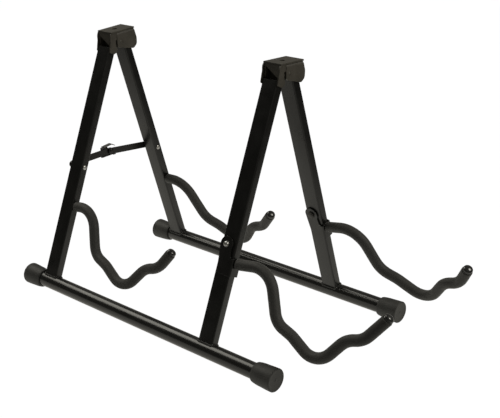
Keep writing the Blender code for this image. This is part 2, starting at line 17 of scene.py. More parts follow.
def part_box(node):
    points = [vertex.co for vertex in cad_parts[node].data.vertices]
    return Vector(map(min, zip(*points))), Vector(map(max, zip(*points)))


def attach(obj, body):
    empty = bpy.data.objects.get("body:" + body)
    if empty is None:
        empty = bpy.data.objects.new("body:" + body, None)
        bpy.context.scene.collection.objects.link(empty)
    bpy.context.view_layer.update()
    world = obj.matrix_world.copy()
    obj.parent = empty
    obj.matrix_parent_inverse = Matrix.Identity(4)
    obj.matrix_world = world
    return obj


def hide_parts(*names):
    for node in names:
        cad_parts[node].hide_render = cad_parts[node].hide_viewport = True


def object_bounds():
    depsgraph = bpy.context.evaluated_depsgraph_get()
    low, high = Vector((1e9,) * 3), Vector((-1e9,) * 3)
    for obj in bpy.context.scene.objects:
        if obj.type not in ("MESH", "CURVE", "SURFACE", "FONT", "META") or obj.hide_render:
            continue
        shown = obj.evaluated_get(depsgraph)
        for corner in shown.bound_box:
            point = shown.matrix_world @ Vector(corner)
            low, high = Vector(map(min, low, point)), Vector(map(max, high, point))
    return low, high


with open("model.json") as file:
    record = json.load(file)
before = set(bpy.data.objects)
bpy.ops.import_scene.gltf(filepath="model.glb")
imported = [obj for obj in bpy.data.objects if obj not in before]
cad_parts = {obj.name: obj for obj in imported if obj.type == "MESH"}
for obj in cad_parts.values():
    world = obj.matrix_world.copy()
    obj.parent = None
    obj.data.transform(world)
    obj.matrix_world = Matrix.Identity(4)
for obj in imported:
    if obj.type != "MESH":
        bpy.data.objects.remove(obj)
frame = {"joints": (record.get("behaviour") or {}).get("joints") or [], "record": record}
cad_low, cad_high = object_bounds()
record = frame["record"]
joints = {joint["name"]: joint for joint in frame["joints"]}
body_of_node = {node: body for body, nodes in record["behaviour"]["bodies"].items() for node in nodes}
slot_of_node = {part["node"]: part["material_slot"] for part in record["subparts"]}

GAP = 0.0003
SIDES = {-1: "left", 1: "right"}
FRAMES = ("rear", "front")

# Sheet and tube
SHEET = 0.0026
CHEEK_BEND = 0.007  # where a hinge bracket's cheeks roll in under its flat top plate
PLATE_FRONT, PLATE_BACK = -0.022, 0.0335
THIN_SHEET = 0.0012
TUBE_WALL = 0.0015
LEG_DEPTH = 0.016
LEG_CORNER = 0.0025

# Rubber foot caps
CAP_MOUTH_RADIUS = 0.0163
CAP_SHOULDER_RADIUS = 0.0181
CAP_SHOULDER = 0.017  # from the mouth to where the flare eases off
CAP_EDGE = 0.0018
CAP_LIP = 0.0011

# Cradle arms: the corners where an arm's straight runs meet, as (out from the leg, up the leg), and the
# radius of the bend at each
ARM_START_HEIGHT = 0.145
ARM_CORNERS = (
    (0.083, 0.1556),
    (0.1177, 0.0817),
    (0.1504, 0.0719),
    (0.2039, 0.0442),
    (0.241, 0.0952),
    (0.269, 0.1044),
)
ARM_BENDS = (0.0445, 0.0345, 0.0430, 0.0350, 0.0380, 0.0360)
# How far each arm's corners are turned up, drawn back and lowered, then the last run's length and its
# slope, with angles in degrees
ARM_PLACES = {
    "front_left": (0.0, 0.0, 0.0, 0.053, 54.4),
    "front_right": (0.8, 0.0020, -0.0027, 0.0415, 61.3),
    "rear_left": (-2.05, 0.0223, 0.0026, 0.0412, 58.0),
    "rear_right": (0.83, 0.0224, 0.0088, 0.0454, 51.2),
}
ROD_RADIUS = 0.00475
ROD_END_BARE = 0.005
FOAM_RADIUS = 0.009
FOAM_BORE = 0.0052
FOAM_START_GAP = 0.0012
ROD_START_GAP = 0.0012

# Fold-up brackets
BRACKET_SHEET = 0.0025
PIVOT_U = -0.003  # from the middle of the leg, along the base tube
LOBE_RADIUS = 0.0125
BOLT_RADIUS = 0.004
BOLT_HEAD_RADIUS, BOLT_HEAD_HEIGHT = 0.0052, 0.0038
NUT_RADIUS = 0.0062
BOLT_SEAT = LEG_DEPTH / 2 + BRACKET_SHEET + 2 * GAP  # from the middle of the leg to under the bolt's head

# Brace
BAR_THICK = 0.0025
BAR_HALF_HEIGHT = 0.006
RIVET_RADIUS = 0.003
RIVET_HEAD_RADIUS, BACK_HEAD_RADIUS = 0.0043, 0.0048
LEG_HEAD_HEIGHT, CENTRE_HEAD_HEIGHT = 0.0016, 0.0012


# ---- Places, read from the frame ----------------------------------------------------------------------


def middle(node):
    low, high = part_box(node)
    return (low + high) / 2


def extent(node):
    low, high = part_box(node)
    return high - low


arm_axis = Vector(joints["front_left_arm_fold"]["axis"])
lean = math.atan2(arm_axis.z, -arm_axis.y)
axis_height = middle("left_base_tube").z
tube_radius = extent("left_base_tube").z / 2
half_spacing = middle("right_base_tube").y
leg_width = extent("front_left_leg").x
leg_x = {name: middle(f"{name}_left_leg").x for name in FRAMES}
hinge_height = joints["rack_fold"]["pos_m"][2]
# Each hinge's top plate: its height above the pin, and how far its back edge is tipped up
plate_height = {"rear": 0.0205, "front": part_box("front_hinge_bracket")[1].z - hinge_height}
plate_tilt = {"rear": math.radians(5.0), "front": 0.0}
bracket_half = extent("front_hinge_bracket").x / 2
arm_pivot_height = (joints["front_left_arm_fold"]["pos_m"][2] - axis_height) / math.cos(lean)
brace_pivot_up = (joints["left_brace_fold"]["pos_m"][2] - axis_height) / math.cos(lean)


def leg_matrix(side, x):
    """A leg's local frame: x along the base tube, z up the leg from the tube's axis, y nearly world +Y."""
    up = Vector((0, -side * math.sin(lean), math.cos(lean)))
    along = Vector((1, 0, 0))
    turn = Matrix((along, up.cross(along), up)).transposed().to_4x4()
    return Matrix.Translation((x, side * half_spacing, axis_height)) @ turn


def hinge_matrix(name):
    place = Matrix.Translation((leg_x[name], 0, hinge_height))
    return place @ Matrix.Rotation(plate_tilt[name], 4, "X")


# ---- Materials ----------------------------------------------------------------------------------------


class Surface:
    """A Principled material under construction, with its textures in object space."""

    def __init__(self, name, **sockets):
        self.material = bpy.data.materials.new(name)
        self.material.use_nodes = True
        self.tree = self.material.node_tree
        self.shader = self.tree.nodes["Principled BSDF"]
        self.place = self.tree.nodes.new("ShaderNodeTexCoord").outputs["Object"]
        for socket, value in sockets.items():
            self.shader.inputs[socket.replace("_", " ")].default_value = value

    def node(self, kind, inputs=None, **settings):
        made = self.tree.nodes.new(kind)
        for name, value in settings.items():
            setattr(made, name, value)
        for socket, value in (inputs or {}).items():
            if isinstance(value, bpy.types.NodeSocket):
                self.tree.links.new(value, made.inputs[socket])
            else:
                made.inputs[socket].default_value = value
        return made

    def noise(self, scale, detail=3.0, roughness=0.5, place=None):
        inputs = {"Vector": place or self.place, "Scale": scale, "Detail": detail, "Roughness": roughness}
        return self.node("ShaderNodeTexNoise", inputs).outputs["Fac"]

    def cells(self, scale):
        inputs = {"Vector": self.place, "Scale": scale}
        return self.node("ShaderNodeTexVoronoi", inputs).outputs["Distance"]

    def stretched(self, scale):
        return self.node("ShaderNodeMapping", {"Vector": self.place, "Scale": scale}).outputs["Vector"]

    def ramp(self, value, *stops):
        """A colour ramp through these (position, grey or colour) stops."""
        made = self.node("ShaderNodeValToRGB", {"Fac": value})
        elements = made.color_ramp.elements
        while len(elements) < len(stops):
            elements.new(0.5)
        for element, (position, colour) in zip(elements, stops):
            element.position = position
            element.color = (*colour, 1) if isinstance(colour, tuple) else (colour, colour, colour, 1)
        return made.outputs["Color"]

    def range(self, value, low, high, from_low=0.3, from_high=0.7):
        inputs = {"Value": value, "From Min": from_low, "From Max": from_high, "To Min": low, "To Max": high}
        return self.node("ShaderNodeMapRange", inputs).outputs["Result"]

    def mix(self, share, first, second):
        made = self.node("ShaderNodeMix", data_type="RGBA")
        for socket, value in ((made.inputs[0], share), (made.inputs[6], first), (made.inputs[7], second)):
            if isinstance(value, bpy.types.NodeSocket):
                self.tree.links.new(value, socket)
            else:
                socket.default_value = value if isinstance(value, float) else (*value, 1)
        return made.outputs[2]

    def add(self, first, second, weight=1.0):
        scaled = self.node("ShaderNodeMath", {0: second, 1: weight}, operation="MULTIPLY").outputs[0]
        return self.node("ShaderNodeMath", {0: first, 1: scaled}, operation="ADD").outputs[0]

    def bump(self, height, distance):
        inputs = {"Height": height, "Distance": distance, "Strength": 1.0}
        normal = self.node("ShaderNodeBump", inputs).outputs["Normal"]
        self.tree.links.new(normal, self.shader.inputs["Normal"])

    def set(self, socket, value):
        self.tree.links.new(value, self.shader.inputs[socket])
        return self


def powder_coat(name, dark, light, roughness):
    """Black baked powder: fine orange peel, faint cloudiness, and dust that catches on it."""
    made = Surface(name, IOR=1.5)
    peel = made.noise(700.0, 2.0)
    clouds = made.noise(35.0, 4.0, 0.6)
    specks = made.ramp(made.noise(2600.0, 1.0), (0.70, 0.0), (0.78, 1.0))
    coat = made.ramp(clouds, (0.35, dark), (0.70, light))
    made.set("Base Color", made.mix(specks, coat, tuple(3 * part for part in light)))
    uneven = made.add(clouds, peel, 0.3)
    made.set("Roughness", made.range(uneven, roughness - 0.05, roughness + 0.07, 0.4, 0.9))
    made.bump(peel, 0.00006)
    return made.material


def gloss_tube_paint():
    """Smoother and glossier than the legs, with long faint draw lines along the tube."""
    made = Surface("gloss_black_tube", IOR=1.5, Coat_Weight=0.12, Coat_Roughness=0.14)
    lines = made.noise(300.0, 3.0, place=made.stretched((0.02, 1.0, 1.0)))
    clouds = made.noise(25.0, 4.0, 0.6)
    dark, light = (0.0075, 0.0074, 0.0070), (0.0120, 0.0118, 0.0110)
    made.set("Base Color", made.ramp(clouds, (0.3, dark), (0.75, light)))
    made.set("Roughness", made.range(clouds, 0.21, 0.27))
    made.bump(lines, 0.000004)
    return made.material


def moulded_rubber():
    """Matte dark grey rubber with a fine spark-eroded grain and a little bloom on it."""
    made = Surface("foot_cap_rubber", IOR=1.5)
    grain = made.noise(2200.0, 3.0)
    bloom = made.noise(60.0, 5.0, 0.65)
    made.set("Base Color", made.ramp(bloom, (0.30, (0.022, 0.022, 0.021)), (0.75, (0.036, 0.036, 0.034))))
    made.set("Roughness", made.range(bloom, 0.52, 0.64))
    made.bump(made.add(grain, bloom, 0.6), 0.00010)
    return made.material


def foam_skin():
    """Closed-cell foam: an even matte skin broken by small cells and a few open pores, painted near black as
    painted shade in their hollows.
    """
    made = Surface("black_foam", IOR=1.45, Sheen_Weight=0.25, Sheen_Roughness=0.45)
    cells = made.cells(1300.0)
    pores_and_shade = made.ramp(made.cells(620.0), (0.05, 0.0), (0.16, 1.0))
    patches = made.noise(45.0, 4.0, 0.6)
    skin = made.ramp(patches, (0.30, (0.019, 0.019, 0.0175)), (0.72, (0.030, 0.029, 0.027)))
    # The pores get a near-black colour: painted shade in their hollows, not a colour of the foam.
    made.set("Base Color", made.mix(pores_and_shade, (0.006, 0.006, 0.006), skin))
    made.set("Roughness", made.range(patches, 0.56, 0.68))
    made.bump(made.add(made.add(cells, pores_and_shade, 0.7), made.noise(180.0, 3.0), 1.2), 0.00016)
    return made.material


def gloss_plastic():
    """Glossy dipped plastic with slight sink and flow marks."""
    made = Surface("end_plug_plastic", IOR=1.5, Coat_Weight=0.4, Coat_Roughness=0.05)
    flow = made.noise(140.0, 3.0, 0.6)
    made.set("Base Color", made.ramp(flow, (0.3, (0.008, 0.008, 0.008)), (0.8, (0.014, 0.014, 0.013))))
    made.set("Roughness", made.range(flow, 0.16, 0.28))
    made.bump(flow, 0.00012)
    return made.material


def zinc_plate(name, shade, roughness):
    """Zinc plate: fine rolled scratches and faint yellow and blue in the passivation."""
    made = Surface(name, Metallic=1.0)
    scratches = made.noise(900.0, 4.0, 0.7, made.stretched((1.0, 0.15, 1.0)))
    tint = made.noise(160.0, 3.0)
    tones = ((0.58, 0.60, 0.63), (0.66, 0.66, 0.64), (0.66, 0.62, 0.52))
    places = (0.30, 0.52, 0.74)
    stops = [(place, tuple(shade * part for part in tone)) for place, tone in zip(places, tones)]
    made.set("Base Color", made.ramp(tint, *stops))
    made.set("Roughness", made.range(scratches, roughness - 0.09, roughness + 0.09))
    made.bump(scratches, 0.00003)
    return made.material


def fillet_paint():
    """The same powder coat where it has run over a weld, a little thicker and glossier."""
    made = Surface("painted_weld", IOR=1.5)
    lumps = made.noise(420.0, 4.0, 0.6)
    made.set("Base Color", made.ramp(lumps, (0.3, (0.008, 0.008, 0.0075)), (0.8, (0.015, 0.0148, 0.014))))
    made.set("Roughness", made.range(lumps, 0.26, 0.42))
    made.bump(lumps, 0.00030)
    return made.material


# Dark and light ends of each paint's colour
LEG_BLACK = ((0.0030, 0.0030, 0.0027), (0.0052, 0.0051, 0.0047))
HINGE_BLACK = ((0.041, 0.0370, 0.0300), (0.058, 0.0522, 0.0425))
NUT_BLACK = ((0.026, 0.024, 0.021), (0.042, 0.039, 0.034))
# By the record's material slot
FINISHES = {
    "base_tube": gloss_tube_paint(),
    "leg": powder_coat("black_powder_leg", *LEG_BLACK, roughness=0.30),
    "hinge": powder_coat("black_powder_hinge", *HINGE_BLACK, roughness=0.45),
    "bracket": powder_coat("black_powder_bracket", *LEG_BLACK, roughness=0.32),
    "brace": powder_coat("black_powder_brace", *LEG_BLACK, roughness=0.34),
    "core_rod": powder_coat("black_powder_rod", *LEG_BLACK, roughness=0.36),
    "foam": foam_skin(),
    "foot_cap": moulded_rubber(),
    "end_plug": gloss_plastic(),
    "zinc": zinc_plate("bright_zinc_plate", 0.75, 0.36),
    "clip": zinc_plate("dull_zinc_plate", 0.20, 0.60),
}
NUT_OXIDE = powder_coat("black_oxide_nut", *NUT_BLACK, roughness=0.50)
WELD_PAINT = fillet_paint()


# ---- Mesh tools ---------------------------------------------------------------------------------------


def to_object(name, bm, matrix, smooth_angle=35):
    bmesh.ops.recalc_face_normals(bm, faces=bm.faces)
    mesh = bpy.data.meshes.new(name)
    bm.to_mesh(mesh)
    bm.free()
    mesh.transform(matrix)
    mesh.shade_smooth()
    mesh.set_sharp_from_angle(angle=math.radians(smooth_angle))
    obj = bpy.data.objects.new(name, mesh)
    bpy.context.scene.collection.objects.link(obj)
    return obj


def combine(obj, other, operation):
    """A Boolean with the second object, which is used up."""
    modifier = obj.modifiers.new("combine", "BOOLEAN")
    modifier.operation = operation
    modifier.object = other
    bpy.context.view_layer.update()
    mesh = bpy.data.meshes.new_from_object(obj.evaluated_get(bpy.context.evaluated_depsgraph_get()))
    obj.modifiers.clear()
    obj.data = mesh
    bpy.data.objects.remove(other, do_unlink=True)


def soften(obj, width, segments=3):
    """Joins coplanar faces, then rounds every edge that turns by more than 28 degrees."""
    bm = bmesh.new()
    bm.from_mesh(obj.data)
    bmesh.ops.remove_doubles(bm, verts=bm.verts, dist=1e-6)
    bmesh.ops.dissolve_limit(bm, angle_limit=math.radians(0.4), verts=bm.verts, edges=bm.edges)
    bm.to_mesh(obj.data)
    bm.free()
    obj.data.shade_smooth()
    bevel = obj.modifiers.new("rounded_edges", "BEVEL")
    bevel.width = width
    bevel.segments = segments
    bevel.limit_method = "ANGLE"
    bevel.angle_limit = math.radians(28)
    bevel.harden_normals = True
    bevel.miter_outer = "MITER_ARC"
    return obj


def rounded(corners, radii, steps=8, closed=True):
    """The 2-D outline through these corners, each turned into an arc of its radius (0 leaves it sharp)."""
    points = []
    last = len(corners) - 1
    for i, (corner, radius) in enumerate(zip(corners, radii)):
        here = Vector(corner)
        if radius == 0 or (not closed and i in (0, last)):
            points.append(here)
            continue
        before = (Vector(corners[i - 1]) - here).normalized()
        after = (Vector(corners[(i + 1) % (last + 1)]) - here).normalized()
        half = before.angle(after) / 2
        centre = here + (before + after).normalized() * (radius / math.sin(half))
        start = here + before * (radius / math.tan(half)) - centre
        turn = start.angle_signed(here + after * (radius / math.tan(half)) - centre)
        points += [centre + Matrix.Rotation(-turn * k / steps, 2) @ start for k in range(steps + 1)]
    return points


def rectangle(width, depth, corner, steps=8):
    """A rounded rectangle about the origin."""
    x, y = width / 2, depth / 2
    return rounded(((x, -y), (x, y), (-x, y), (-x, -y)), (corner,) * 4, steps)


def arc(centre, radius, start_degrees, end_degrees, steps):
    sweep_degrees = end_degrees - start_degrees
    turns = [math.radians(start_degrees + sweep_degrees * k / steps) for k in range(steps + 1)]
    return [(centre[0] + radius * math.cos(turn), centre[1] + radius * math.sin(turn)) for turn in turns]


def circle(radius, count):
    turns = [math.tau * k / count for k in range(count)]
    return [(radius * math.cos(turn), radius * math.sin(turn)) for turn in turns]


def dome(radius, base, height, steps):
    """A quarter ellipse for a lathe, from its rim at the base to one step short of its axis."""
    turns = [math.pi / 2 * k / steps for k in range(steps)]
    return [(radius * math.cos(turn), base + height * math.sin(turn)) for turn in turns]


def prism(name, outline, low, high, plane, matrix):
    """An outline in one plane of the local frame, extruded from low to high along the plane's normal."""
    place = {
        "yz": lambda a, b, c: (c, a, b),
        "xz": lambda a, b, c: (a, c, b),
        "xy": lambda a, b, c: (a, b, c),
    }[plane]
    bm = bmesh.new()
    face = bm.faces.new([bm.verts.new(place(a, b, low)) for a, b in outline])
    made = bmesh.ops.extrude_face_region(bm, geom=[face])["geom"]
    shift = Vector(place(0, 0, high)) - Vector(place(0, 0, low))
    bmesh.ops.translate(bm, verts=[v for v in made if isinstance(v, bmesh.types.BMVert)], vec=shift)
    return to_object(name, bm, matrix)


def lathe(name, profile, matrix, sides=64, smooth_angle=35):
    """A profile of (radius, height) points, from axis to axis, turned about local z."""
    bm = bmesh.new()
    rings = []
    for radius, height in profile:
        points = circle(radius, sides) if radius else [(0, 0)]
        rings.append([bm.verts.new((x, y, height)) for x, y in points])
    for lower, upper in zip(rings, rings[1:]):
        bridge(bm, lower, upper)
    return to_object(name, bm, matrix, smooth_angle)


def bridge(bm, lower, upper):
    """Faces between two closed rings, either of which may be a single point."""
    count = max(len(lower), len(upper))
    for k in range(count):
        after = (k + 1) % count
        below = [lower[i % len(lower)] for i in (k, after)]
        above = [upper[i % len(upper)] for i in (after, k)]
        corners = list(dict.fromkeys(below + above))
        if len(corners) > 2:
            bm.faces.new(corners)


def drill(obj, radius, start, end, sides=48):
    """A round hole through the piece, from one point to another."""
    start, end = Vector(start), Vector(end)
    turn = (end - start).to_track_quat("Z", "Y").to_matrix().to_4x4()
    bm = bmesh.new()
    bmesh.ops.create_cone(
        bm, cap_ends=True, segments=sides, radius1=radius, radius2=radius, depth=(end - start).length
    )
    combine(obj, to_object("drill", bm, Matrix.Translation((start + end) / 2) @ turn), "DIFFERENCE")


def sweep(name, path, rings, matrix, sides, closed_ends=True):
    """A skin along a path in the local x-z plane. Each ring is (place along the path, radius, ripple).

    Without closed ends the last ring joins the first, so that the skin goes back through its own bore.
    """
    lengths = [0.0]
    for first, second in zip(path, path[1:]):
        lengths.append(lengths[-1] + (Vector(second) - Vector(first)).length)

    def at(distance):
        k = next((i for i in range(1, len(lengths) - 1) if lengths[i] >= distance), len(lengths) - 1)
        span = lengths[k] - lengths[k - 1]
        share = (distance - lengths[k - 1]) / span
        return Vector(path[k - 1]).lerp(Vector(path[k]), share)

    def heading(distance):
        step = 0.0012
        return (at(min(distance + step, lengths[-1])) - at(max(distance - step, 0.0))).normalized()

    bm = bmesh.new()
    made = []
    for distance, radius, ripple in rings:
        centre, ahead = at(distance), heading(distance)
        side = Vector((-ahead.y, ahead.x))
        ring = []
        for k in range(sides):
            turn = math.tau * k / sides
            size = radius + ripple(distance, turn) if ripple else radius
            flat = centre + side * (size * math.cos(turn))
            ring.append(bm.verts.new((flat.x, size * math.sin(turn), flat.y)))
        made.append(ring)
    for lower, upper in zip(made, made[1:]):
        bridge(bm, lower, upper)
    if closed_ends:
        bm.faces.new(made[0])
        bm.faces.new(made[-1])
    else:
        bridge(bm, made[-1], made[0])
    return to_object(name, bm, matrix, 50)


def path_length(path):
    return sum((Vector(b) - Vector(a)).length for a, b in zip(path, path[1:]))


def weld_bead(name, loop, matrix, node, radius, seed):
    """Overlapping weld ripples round a closed loop of local points, painted over."""
    random.seed(seed)
    ripple = 0.0013
    rings_per_ripple = 4
    sides = 10
    dense = []
    line = [Vector(point) for point in (*loop, loop[0])]
    for first, second in zip(line, line[1:]):
        count = max(1, round((second - first).length / (ripple / rings_per_ripple)))
        dense += [first.lerp(second, k / count) for k in range(count)]
    bm = bmesh.new()
    rings = []
    phase = 0.0
    wobble = 0.0
    for i, point in enumerate(dense):
        ahead = (dense[(i + 1) % len(dense)] - dense[i - 1]).normalized()
        # Each ring carries on from the one before it, so that the skin doesn't twist.
        side = (side - ahead * side.dot(ahead)).normalized() if i else ahead.orthogonal().normalized()
        across = ahead.cross(side)
        phase += 1 / rings_per_ripple
        if phase >= 1:
            phase -= 1
            wobble = random.uniform(-0.12, 0.12)
        size = radius * (0.86 + 0.20 * math.sqrt(1 - (2 * phase - 1) ** 2) + wobble)
        rings.append([bm.verts.new(point + (side * x + across * y) * size) for x, y in circle(1, sides)])
    shift = min(range(sides), key=lambda k: (rings[0][k].co - rings[-1][0].co).length)
    rings.append(rings[0][shift:] + rings[0][:shift])
    for lower, upper in zip(rings, rings[1:]):
        bridge(bm, lower, upper)
    bead = to_object(name, bm, matrix, 60)
    bead.data.materials.append(WELD_PAINT)
    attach(bead, body_of_node[node])


def stand_for(piece, node):
    """Gives a piece its node's finish, body and place in the table."""
    piece.data.materials.clear()
    piece.data.materials.append(FINISHES[slot_of_node[node]])
    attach(piece, body_of_node[node])
    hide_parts(node)
    return piece


# ---- Base tubes and foot caps -------------------------------------------------------------------------


def along_x(start, forwards=True):
    """A frame at a point whose local z is world +X, or -X."""
    turn = Matrix.Rotation(math.pi / 2 if forwards else -math.pi / 2, 4, "Y")
    return Matrix.Translation(start) @ turn


def base_tube(side):
    node = f"{SIDES[side]}_base_tube"
    low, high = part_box(node)
    length = high.x - low.x
    outer, inner = tube_radius, tube_radius - TUBE_WALL
    profile = [(inner, 0), (outer, 0), (outer, length), (inner, length), (inner, 0)]
    start = (low.x, side * half_spacing, axis_height)
    stand_for(lathe(f"{SIDES[side]}_gloss_tube", profile, along_x(start), 96), node)


def foot_cap(side, end):
    node = f"{SIDES[side]}_{end}_foot_cap"
    low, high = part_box(node)
    length = high.x - low.x
    end_radius = (high.z - low.z) / 2
    bore = tube_radius + 0.1 * GAP
    bore_end = length - 0.006
    swell = CAP_SHOULDER_RADIUS - CAP_MOUTH_RADIUS
    flare = [
        (CAP_MOUTH_RADIUS + swell * math.sin(math.pi / 2 * share), CAP_SHOULDER * share)
        for share in (0.12, 0.25, 0.4, 0.55, 0.7, 0.85)
    ]
    rim = arc((end_radius - CAP_EDGE, length - CAP_EDGE), CAP_EDGE, 0, 90, 6)
    dish = end_radius - 0.0042  # the end face is sunk a little inside this radius
    profile = [(0, bore_end), (bore, bore_end), (bore, 0), (CAP_MOUTH_RADIUS - CAP_LIP, 0)]
    profile += arc((CAP_MOUTH_RADIUS - CAP_LIP, CAP_LIP), CAP_LIP, -60, 0, 4)
    profile += [*flare, (CAP_SHOULDER_RADIUS, CAP_SHOULDER), (end_radius - 0.0002, 0.75 * length), *rim]
    profile += [(dish + 0.0008, length), (dish, length - 0.0003), (dish - 0.0010, length - 0.0005)]
    # The moulding's gate mark, in the middle of the end face
    profile += [(0.0028, length - 0.0005), (0.0024, length - 0.0002), (0, length - 0.0001)]
    start = (low.x if end == "front" else high.x, side * half_spacing, axis_height)
    piece = lathe(f"{SIDES[side]}_{end}_rubber_foot", profile, along_x(start, end == "front"), 72)
    stand_for(piece, node)


# ---- Legs ---------------------------------------------------------------------------------------------


def saddle(points, radius):
    """These points of a leg's section, each at the height where it meets a base tube of this radius."""
    return [(x, y, math.sqrt(max(radius**2 - y**2, 0.0))) for x, y in points]


def leg(name, side):
    node = f"{name}_{SIDES[side]}_leg"
    matrix = leg_matrix(side, leg_x[name])
    top = (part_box(node)[1].z - axis_height - LEG_DEPTH / 2 * math.sin(lean)) / math.cos(lean)
    outer = rectangle(leg_width, LEG_DEPTH, LEG_CORNER)
    inner = rectangle(leg_width - 2 * TUBE_WALL, LEG_DEPTH - 2 * TUBE_WALL, LEG_CORNER - TUBE_WALL)
    edge = 0.0003
    outer_chamfer = rectangle(leg_width - 2 * edge, LEG_DEPTH - 2 * edge, LEG_CORNER - edge)
    bm = bmesh.new()
    sections = (
        saddle(outer, tube_radius + GAP),
        [(x, y, top - edge) for x, y in outer],
        [(x, y, top) for x, y in outer_chamfer],
        [(x, y, top) for x, y in inner],
        saddle(inner, tube_radius + GAP),
    )
    rings = [[bm.verts.new(point) for point in section] for section in sections]
    for lower, upper in zip(rings, [*rings[1:], rings[0]]):
        bridge(bm, lower, upper)
    stand_for(to_object(f"{name}_{SIDES[side]}_square_tube", bm, matrix), node)
    # The weld runs a little outside the leg's section and above the tube.
    grown = rectangle(leg_width + 0.0006, LEG_DEPTH + 0.0006, LEG_CORNER + 0.0003, 4)
    seam = [(x, y, z + 0.0004) for x, y, z in saddle(grown, tube_radius + 0.0002)]
    seed = 3 + 2 * FRAMES.index(name) + side
    weld_bead(f"{name}_{SIDES[side]}_leg_weld", seam, matrix, node, 0.0019, seed)


# ---- Top hinges ---------------------------------------------------------------------------------------


def drill_for_pin(made, matrix):
    drill(made, RIVET_RADIUS + 0.1 * GAP, *(matrix @ Vector((x, 0, 0)) for x in (-0.03, 0.03)))


def hinge_bracket(name):
    """Bent sheet fixed to the right leg: a flat top plate with a hole, and a cheek on each side."""
    node = f"{name}_hinge_bracket"
    matrix = hinge_matrix(name)
    half, inner, top = bracket_half, bracket_half - SHEET, plate_height[name]
    under = top - SHEET
    low = -0.019
    roof = top - 0.0008  # of the rolled cheeks, a little under the plate's top
    inside_bend = CHEEK_BEND - SHEET
    channel = rounded(
        ((-half, low), (-half, roof), (half, roof), (half, low)), (0, CHEEK_BEND, CHEEK_BEND, 0), 14
    )
    channel += rounded(
        ((inner, low), (inner, roof - SHEET), (-inner, roof - SHEET), (-inner, low)),
        (0, inside_bend, inside_bend, 0),
        10,
    )
    made = prism(f"{name}_hinge_top", channel, PLATE_FRONT, 0.040, "xz", matrix)
    side_outline = rounded(
        (
            (-0.0088, 0.030),
            (PLATE_BACK - 0.001, 0.030),
            (PLATE_BACK, under - 0.002),
            (0.0380, 0.000),
            (0.0375, -0.0120),
            (0.0290, -0.0183),
            (-0.0050, -0.0100),
            (-0.0088, -0.0060),
        ),
        (0, 0, 0.006, 0.012, 0.008, 0.006, 0.003, 0.003),
        8,
    )
    combine(made, prism("cheeks", side_outline, -0.03, 0.03, "yz", matrix), "INTERSECT")
    plate = ((-half, under), (half, under), (half, top), (-half, top))
    combine(made, prism("plate", plate, PLATE_FRONT, PLATE_BACK, "xz", matrix), "UNION")
    drill(made, 0.0045, *(matrix @ Vector((0, 0.0024, height)) for height in (0.010, 0.030)))
    drill_for_pin(made, matrix)
    stand_for(soften(made, 0.0004), node)


def hinge_knuckle(name):
    """Bent sheet fixed to the left leg: flanges, a cut-away front panel, a web and two ears on the pin."""
    node = f"{name}_hinge_knuckle"
    matrix = hinge_matrix(name)
    half, inner = bracket_half, bracket_half - SHEET
    top = plate_height[name] - SHEET - GAP
    panel = (
        (half - GAP, -0.0060),
        (half - GAP, top),
        (GAP - half, top),
        (GAP - half, 0.0115),
        (-0.0105, 0.0105),
        (0.0140, -0.0060),
    )
    made = prism(f"{name}_hinge_front", panel, -0.0225, -0.0200, "xz", matrix)
    flange = rounded(
        (
            (-0.0096, top),
            (-0.0230, top),
            (-0.0250, 0.0110),
            (-0.0250, 0.0030),
            (-0.0262, -0.0020),
            (-0.0288, -0.0150),
            (-0.0180, -0.0195),
            (-0.0108, -0.0160),
            (-0.0112, -0.0085),
            (-0.0136, -0.0065),
            (-0.0136, 0.0040),
            (-0.0096, 0.0055),
        ),
        (0, 0.0015, 0.002, 0, 0, 0.003, 0.003, 0.002, 0, 0, 0, 0),
        6,
    )
    ear_outer = 0.0146
    ear = [(-0.0225, top), (-0.0225, -0.0060), (-0.0125, -0.0106), (-0.0090, -0.0106)]
    ear += arc((0, 0), 0.009, -110, 90, 24)
    for sign in (-1, 1):
        for outline, near, far in ((flange, inner + GAP, half - GAP), (ear, ear_outer - SHEET, ear_outer)):
            low, high = sorted((sign * near, sign * far))
            combine(made, prism("wing", outline, low, high, "yz", matrix), "UNION")
    roof = top - 0.002
    hanging = ((-0.0103, -0.0111), (-0.0103, -0.0142), (-0.0092, -0.0142))
    web = ((-0.0125, -0.0104), *hanging, (-0.0092, roof), (-0.0125, roof))
    lip = (*hanging, (-0.0092, -0.0111))
    for outline, reach in ((web, ear_outer - 0.0001), (lip, 0.0165)):
        combine(made, prism("web", outline, -reach, reach, "yz", matrix), "UNION")
    drill_for_pin(made, matrix)
    stand_for(soften(made, 0.0003), node)


def hinge_pin(name):
    """A pin peened over flush with the cheeks."""
    node = f"{name}_hinge_pin"
    flush = bracket_half
    end = [(0, 0.0002), (0.0016, 0.0002), (0.0024, 0), (RIVET_RADIUS, -0.0005)]
    profile = [(radius, -flush - height) for radius, height in end]
    profile += [(radius, flush + height) for radius, height in reversed(end)]
    stand_for(lathe(f"{name}_peened_pin", profile, along_x((leg_x[name], 0, hinge_height)), 40), node)


# ---- Cradle arms --------------------------------------------------------------------------------------


def turned(point, pivot, angle):
    """A point of the local x-z plane turned about another one, up being positive."""
    out, up = point[0] - pivot[0], point[1] - pivot[1]
    c, s = math.cos(angle), math.sin(angle)
    return (pivot[0] + c * out - s * up, pivot[1] + s * out + c * up)


def arm_path(name, start_out):
    turn, back, down, tip_length, tip_slope = ARM_PLACES[name]
    root = (leg_width / 2, ARM_START_HEIGHT)
    corners = [turned((out - back, up - down), root, math.radians(turn)) for out, up in ARM_CORNERS]
    last, slope = corners[-1], math.radians(tip_slope)
    tip = (last[0] + tip_length * math.cos(slope), last[1] + tip_length * math.sin(slope))
    return rounded([(start_out, ARM_START_HEIGHT), *corners, tip], (0, *ARM_BENDS, 0), 14, closed=False)


